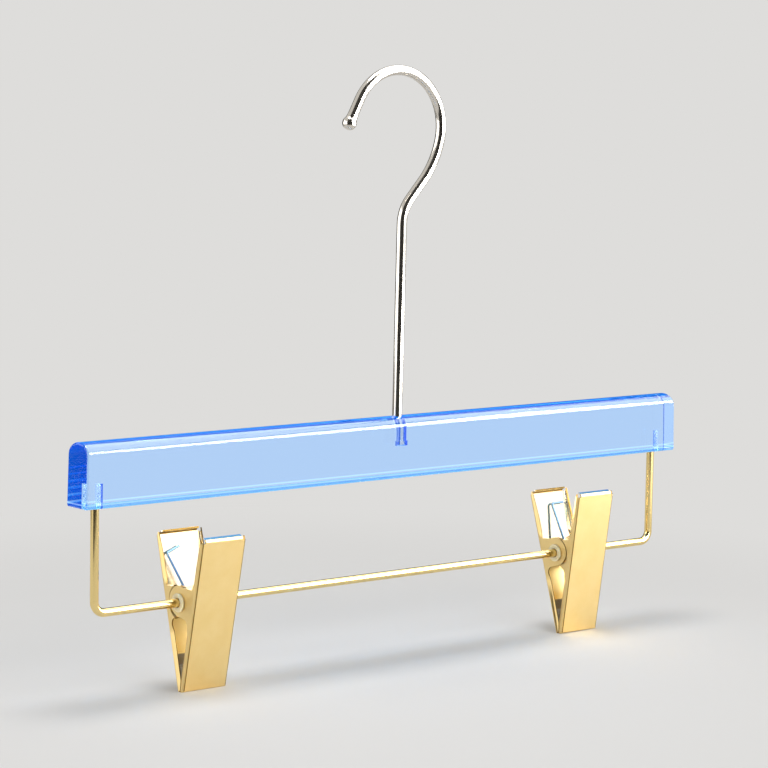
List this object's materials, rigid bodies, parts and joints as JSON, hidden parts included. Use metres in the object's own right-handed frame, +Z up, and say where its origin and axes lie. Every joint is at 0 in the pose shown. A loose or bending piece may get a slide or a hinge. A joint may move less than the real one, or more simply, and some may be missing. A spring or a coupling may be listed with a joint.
{
  "type": "clip hanger",
  "caption": "Skirt and trouser hanger: clear arched acrylic bar on a swivelling wire hook, with a wire rail below that carries sliding sprung sheet-metal clips.",
  "frame": {"origin": "where the hook rests on a wardrobe rail: on the inside of its loop, over the middle of the bar", "axes": "+X along the bar, towards the side that the hook's loop bulges to; +Z up; +Y to the rear of the pictured view"},
  "size_m": [0.3, 0.0312, 0.2347],
  "materials": {
    "acrylic": "polished clear blue acrylic",
    "nickel_wire": "polished nickel-plated steel wire",
    "gold_wire": "polished gold-plated steel wire",
    "gold_sheet": "satin gold-plated steel sheet, polished inside",
    "grip_pad": "smoky translucent vinyl",
    "bush": "milky nylon",
    "spring_wire": "bright spring steel wire"
  },
  "bodies": {
    "hook": {"hook": "nickel_wire"},
    "bar": {"hanger_bar": "acrylic", "clip_rail": "gold_wire"},
    "left_carriage": {"left_clip_first_bush": "bush", "left_clip_second_bush": "bush"},
    "left_outer_jaw": {"left_clip_outer_jaw": "gold_sheet", "left_clip_outer_pad": "grip_pad", "left_clip_spring": "spring_wire"},
    "left_inner_jaw": {"left_clip_inner_jaw": "gold_sheet", "left_clip_inner_pad": "grip_pad"},
    "right_carriage": {"right_clip_first_bush": "bush", "right_clip_second_bush": "bush"},
    "right_outer_jaw": {"right_clip_outer_jaw": "gold_sheet", "right_clip_outer_pad": "grip_pad", "right_clip_spring": "spring_wire"},
    "right_inner_jaw": {"right_clip_inner_jaw": "gold_sheet", "right_clip_inner_pad": "grip_pad"}
  },
  "joints": [
    {"name": "hook_swivel", "type": "hinge", "parent": "hook", "child": "bar", "pos_m": [0, 0, -0.13322], "axis": [0, 0, 1], "continuous": true},
    {"name": "left_clip_slide", "type": "slide", "parent": "bar", "child": "left_carriage", "axis": [1, 0, 0], "range_m": [-0.031, 0.082]},
    {"name": "left_clip_swing", "type": "hinge", "parent": "left_carriage", "child": "left_outer_jaw", "pos_m": [-0.094, 0, -0.19672], "axis": [1, 0, 0], "continuous": true},
    {"name": "left_clip_open", "type": "hinge", "parent": "left_outer_jaw", "child": "left_inner_jaw", "pos_m": [-0.094, 0, -0.19672], "axis": [1, 0, 0], "range_deg": [0, 48], "stiffness_Nm_per_rad": 0.15, "springref_deg": -34.38, "deforming": ["left_clip_spring"]},
    {"name": "right_clip_slide", "type": "slide", "parent": "bar", "child": "right_carriage", "axis": [1, 0, 0], "range_m": [-0.086, 0.027]},
    {"name": "right_clip_swing", "type": "hinge", "parent": "right_carriage", "child": "right_outer_jaw", "pos_m": [0.098, 0, -0.19672], "axis": [1, 0, 0], "continuous": true},
    {"name": "right_clip_open", "type": "hinge", "parent": "right_outer_jaw", "child": "right_inner_jaw", "pos_m": [0.098, 0, -0.19672], "axis": [-1, 0, 0], "range_deg": [0, 48], "stiffness_Nm_per_rad": 0.15, "springref_deg": -34.38, "deforming": ["right_clip_spring"]}
  ]
}
